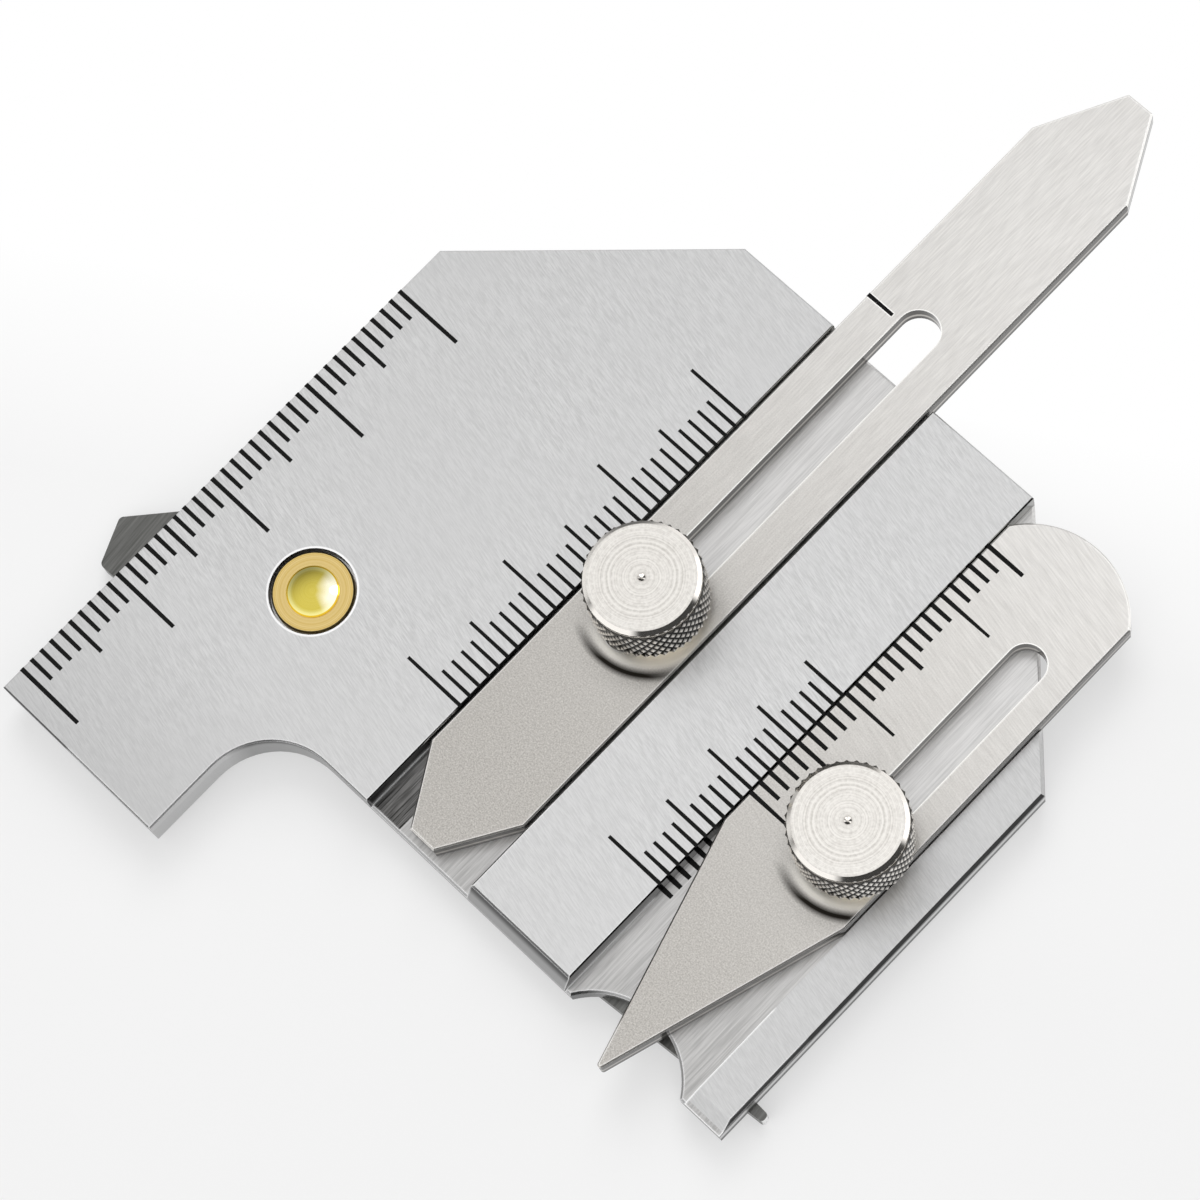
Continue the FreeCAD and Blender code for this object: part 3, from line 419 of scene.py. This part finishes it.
def fill(name, body, root, reach, top, start, division, width, marks, long_taper=MARK_TAPER):
    """The enamel of one scale. Each of its marks runs from x = root to the side that reach gives."""
    bpy.ops.object.select_all(action="DESELECT")
    made = []
    for number, length in marks:
        bpy.ops.mesh.primitive_cube_add(size=1, location=(
            root + reach * length / 2, start + division * number, top - FILL_SINK - FILL_DEPTH / 2))
        mark = bpy.context.object
        mark.scale = (length, width, FILL_DEPTH)
        taper = long_taper if number in (0, 10, 20) else MARK_TAPER
        for corner in mark.data.vertices:
            if corner.co.x * reach > 0:
                corner.co.y *= taper
        made.append(mark)
    for mark in made:
        mark.select_set(True)
    bpy.context.view_layer.objects.active = made[0]
    bpy.ops.object.join()
    bpy.ops.object.transform_apply(location=True, rotation=True, scale=True)
    piece = bpy.context.object
    piece.name = name
    piece.data.materials.append(enamel)
    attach(piece, body)


def ruler(last, short, medium, long):
    """Mark numbers with their lengths: long every ten, medium every five between."""
    return [(number, (long if number % 10 == 0 else medium if number % 5 == 0 else short) * MM)
            for number in range(last + 1)]


plate_low, plate_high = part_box("main_plate")
height_low, height_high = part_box("height_slide")
undercut_low, undercut_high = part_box("undercut_slide")
left_groove = height_low.x - HEIGHT_CLEARANCE
right_groove = undercut_low.x - UNDERCUT_CLEARANCE
depth_lengths = {0: 5.2 * MM, 5: 4.0 * MM, 10: 4.4 * MM, 15: 4.0 * MM, 20: 3.8 * MM}
slide_marks = ruler(24, short=1.9, medium=2.85, long=4.75) + [(25, 3.4 * MM)]

fill("edge_scale_fill", "main", root=plate_low.x, reach=1, top=plate_high.z,
     start=-18.97 * MM, division=1 * MM, width=0.37 * MM, marks=ruler(40, short=2.3, medium=3.55, long=6.2))
fill("height_scale_fill", "main", root=left_groove, reach=-1, top=plate_high.z,
     start=1.25 * MM, division=1 * MM, width=0.31 * MM, marks=ruler(30, short=2.9, medium=4.0, long=5.5))
fill("depth_scale_fill", "main", root=right_groove, reach=-1, top=plate_high.z,
     start=1.66 * MM, division=0.95 * MM, width=0.32 * MM,
     marks=[(number, depth_lengths.get(number, 2.5 * MM)) for number in range(21)])
fill("floor_mark_fill", "main", root=right_groove, reach=1, top=FLOOR_TOP,
     start=1.66 * MM, division=0.95 * MM, width=0.42 * MM,
     marks=[(number, 0.9 * MM) for number in range(6)])
fill("slide_scale_fill", "undercut_slide", root=undercut_low.x, reach=1,
     top=undercut_high.z, start=10.94 * MM, division=1 * MM, width=0.38 * MM, marks=slide_marks,
     long_taper=LONG_SLIDE_TAPER)
fill("index_mark_fill", "height_slide", root=height_low.x, reach=1,
     top=height_high.z, start=44.3 * MM, division=1 * MM, width=0.34 * MM, marks=[(0, 2.5 * MM)])

# Table top: a plain white sheet that the gauge lies on. The eye and the reflections see it partly
# as a lit-through white ground, so that its shadows stay light. Beyond the plate it is lit fully.
PAPER_SIZE = 6
PAPER_GAP = 0.02 * MM
GLOW = 0.5
GLOW_FROM = 8 * MM
GLOW_TO = 28 * MM
GLOW_SIDE = (-0.6, 1, 0)

bpy.ops.object.select_all(action="DESELECT")
bpy.ops.mesh.primitive_plane_add(size=PAPER_SIZE, location=(0, 0, -PAPER_GAP))
floor = bpy.context.object
floor.name = "table_top"
paper, tree = new_material("white_paper")
rays = add(tree, "LightPath").outputs
seen = add(tree, "Math", {0: rays["Is Camera Ray"], 1: rays["Is Glossy Ray"]}, operation="MAXIMUM")
seen = add(tree, "Math", {0: seen, 1: rays["Is Transmission Ray"]}, operation="MAXIMUM")
place = add(tree, "TexCoord").outputs["Object"]
along = add(tree, "VectorMath", {0: place, 1: GLOW_SIDE}, operation="DOT_PRODUCT")
glow = add(tree, "MapRange", {
    "Value": along, "From Min": GLOW_FROM, "From Max": GLOW_TO, "To Min": GLOW, "To Max": 1})
share = add(tree, "Math", {0: seen, 1: glow}, operation="MULTIPLY")
sheet = add(tree, "BsdfDiffuse", {"Color": colour("#DADADA")})
ground = add(tree, "Emission", {"Color": colour("#FFFFFF"), "Strength": 1})
add(tree, "OutputMaterial", {"Surface": add(tree, "MixShader", {0: share, 1: sheet, 2: ground})})
floor.data.materials.append(paper)

# Light: a pale room, brightest overhead and dark at the horizon, with white cards that light the
# gauge's edges and the knurls. A wide softbox behind its upper left only throws the soft shadow.
SOFTBOX_SIZE = 0.4
SOFTBOX_WATTS = 1.75
SOFTBOX_DISTANCE = 0.6
SOFTBOX_SIDE = Vector((-0.65, 0.71, 1.1)).normalized()
SOFTBOX_AIM = Vector((20, 10, 0)) * MM
OVERHEAD = (0.10, -0.12, 0.9877)

world = bpy.data.worlds.new("pale_room")
bpy.context.scene.world = world
world.use_nodes = True
tree = world.node_tree
tree.nodes.clear()
towards = add(tree, "TexCoord").outputs["Generated"]
overhead = add(tree, "VectorMath", {0: towards, 1: OVERHEAD}, operation="DOT_PRODUCT")
strength = add(tree, "MapRange", {
    "Value": overhead, "From Min": 0.45, "From Max": 0.93, "To Min": 0.05, "To Max": 1.17},
    interpolation_type="SMOOTHSTEP")

# Each card's direction, the cosines at its soft edge and its full core, and its strength: low in
# front, low behind, high right, left, high front, and last a small lamp for the rivet's dome.
for direction, edge, core, power in (
        ((-0.08, -0.975, 0.21), 0.8, 0.9, 1.05), ((0.47, 0.87, 0.15), 0.85, 0.93, 1.5),
        ((0.64, -0.05, 0.77), 0.96, 0.985, 0.6), ((-0.88, 0.0, 0.47), 0.95, 0.98, 1.3),
        ((0.14, -0.68, 0.72), 0.96, 0.985, 0.5), ((-0.06, 0.36, 0.931), 0.9962, 0.998, 3.5)):
    near = add(tree, "VectorMath", {0: towards, 1: direction}, operation="DOT_PRODUCT")
    card = add(tree, "MapRange", {"Value": near, "From Min": edge, "From Max": core, "To Max": power})
    strength = add(tree, "Math", {0: strength, 1: card}, operation="ADD")
sky = add(tree, "Background", {"Color": colour("#FFFFFF"), "Strength": strength})
add(tree, "OutputWorld", {"Surface": sky})

light = bpy.data.lights.new("softbox", "AREA")
light.shape = "SQUARE"
light.size = SOFTBOX_SIZE
light.energy = SOFTBOX_WATTS
softbox = bpy.data.objects.new("softbox", light)
bpy.context.scene.collection.objects.link(softbox)
softbox.location = SOFTBOX_AIM + SOFTBOX_SIDE * SOFTBOX_DISTANCE
softbox.rotation_euler = SOFTBOX_SIDE.to_track_quat("Z", "Y").to_euler()
softbox.visible_glossy = False

# Camera: above the lower right of the gauge, turned so that the slides run up to the right. BACK,
# RIGHT and UP are the photograph's own axes, and the aim is a little right of and above its middle.
EYE = Vector((111.383, -25.730, 311.278)) * MM
BACK = Vector((0.28656, -0.11114, 0.95159))
RIGHT = Vector((0.70691, 0.69494, -0.13171))
UP = Vector((-0.64665, 0.71043, 0.27771))
AIM_RIGHT = 0.002417
AIM_UP = 0.013661
FOCAL_LENGTH = 132.635
FILM_WIDTH = 36

back = -(AIM_RIGHT * RIGHT + AIM_UP * UP - BACK).normalized()
right = (RIGHT - RIGHT.dot(back) * back).normalized()
up = back.cross(right)
lens = bpy.data.cameras.new("camera")
lens.lens = FOCAL_LENGTH
lens.sensor_width = FILM_WIDTH
lens.clip_start = 0.01
camera = bpy.data.objects.new("camera", lens)
bpy.context.scene.collection.objects.link(camera)
camera.matrix_world = Matrix((
    (right.x, up.x, back.x, EYE.x), (right.y, up.y, back.y, EYE.y),
    (right.z, up.z, back.z, EYE.z), (0, 0, 0, 1)))
bpy.context.scene.camera = camera
bpy.context.scene.view_settings.view_transform = "Standard"
